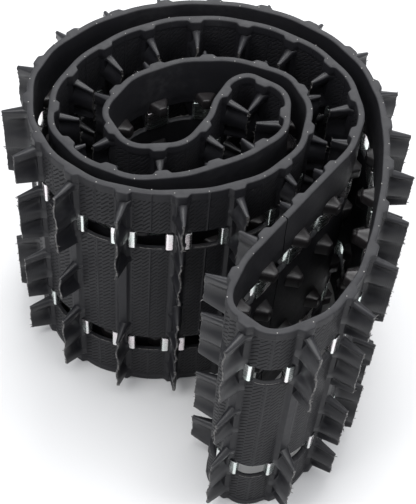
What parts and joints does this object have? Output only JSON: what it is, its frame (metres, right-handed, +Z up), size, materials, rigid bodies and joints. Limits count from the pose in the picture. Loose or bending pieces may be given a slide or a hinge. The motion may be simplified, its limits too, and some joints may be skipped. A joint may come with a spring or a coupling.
{
  "type": "rubber track",
  "caption": "Endless rubber snow track with cross rods, paddles, drive lugs and sprocket windows, folded double, rolled up and standing on its edge.",
  "frame": {"origin": "bottom centre of the bounding box, on the surface that the roll stands on", "axes": "+Z up, along the belt's width and the cross rods; +Y the roll's long way in plan, from the tail fold to the back of the roll; +X to the right seen from the tail fold"},
  "size_m": [0.4866, 0.5594, 0.381],
  "materials": {
    "rubber": "matte moulded rubber with a fine diagonal cord texture",
    "fibreglass": "pultruded fibreglass rod, satin",
    "clip_steel": "bright plated spring steel"
  },
  "bodies": {
    "roll": {"belt_outer_wrap": "rubber", "belt_core": "rubber", "belt_inner_wrap": "rubber", "cross_rod_04": "fibreglass", "cross_rod_05": "fibreglass", "cross_rod_06": "fibreglass", "cross_rod_07": "fibreglass", "cross_rod_08": "fibreglass", "cross_rod_09": "fibreglass", "cross_rod_10": "fibreglass", "cross_rod_11": "fibreglass", "cross_rod_12": "fibreglass", "cross_rod_13": "fibreglass", "cross_rod_14": "fibreglass", "cross_rod_15": "fibreglass", "cross_rod_16": "fibreglass", "cross_rod_17": "fibreglass", "cross_rod_18": "fibreglass", "cross_rod_19": "fibreglass", "cross_rod_20": "fibreglass", "cross_rod_21": "fibreglass", "cross_rod_22": "fibreglass", "cross_rod_23": "fibreglass", "cross_rod_24": "fibreglass", "cross_rod_25": "fibreglass", "cross_rod_26": "fibreglass", "cross_rod_27": "fibreglass", "cross_rod_28": "fibreglass", "cross_rod_29": "fibreglass", "cross_rod_30": "fibreglass", "cross_rod_31": "fibreglass", "cross_rod_32": "fibreglass", "cross_rod_33": "fibreglass", "cross_rod_34": "fibreglass", "cross_rod_35": "fibreglass", "cross_rod_36": "fibreglass", "cross_rod_37": "fibreglass", "cross_rod_38": "fibreglass", "cross_rod_39": "fibreglass", "cross_rod_40": "fibreglass", "cross_rod_41": "fibreglass", "cross_rod_42": "fibreglass", "cross_rod_43": "fibreglass", "cross_rod_44": "fibreglass", "cross_rod_45": "fibreglass", "cross_rod_46": "fibreglass", "cross_rod_47": "fibreglass", "cross_rod_48": "fibreglass", "cross_rod_49": "fibreglass", "cross_rod_50": "fibreglass", "cross_rod_51": "fibreglass"},
    "outer_strand": {"belt_outer_strand": "rubber", "cross_rod_02": "fibreglass", "cross_rod_03": "fibreglass"},
    "tail_fold": {"belt_tail_fold": "rubber", "cross_rod_54": "fibreglass", "cross_rod_01": "fibreglass"},
    "inner_strand": {"belt_inner_strand": "rubber", "cross_rod_52": "fibreglass", "cross_rod_53": "fibreglass"}
  },
  "joints": [
    {"name": "outer_flex", "type": "hinge", "parent": "roll", "child": "outer_strand", "pos_m": [0.18699, -0.1145, 0.19], "axis": [0, 0, 1], "range_deg": [-8, 20], "stiffness_Nm_per_rad": 3},
    {"name": "fold_outer_flex", "type": "hinge", "parent": "outer_strand", "child": "tail_fold", "pos_m": [0.13211, -0.22837, 0.19], "axis": [0, 0, 1], "range_deg": [-20, 8]},
    {"name": "fold_inner_flex", "type": "hinge", "parent": "tail_fold", "child": "inner_strand", "pos_m": [0.03361, -0.22205, 0.19], "axis": [0, 0, 1], "range_deg": [-8, 20]}
  ],
  "couplings": [
    {"joint": "fold_outer_flex", "follows": "outer_flex", "ratio": -1},
    {"joint": "fold_inner_flex", "follows": "outer_flex", "ratio": 1}
  ]
}
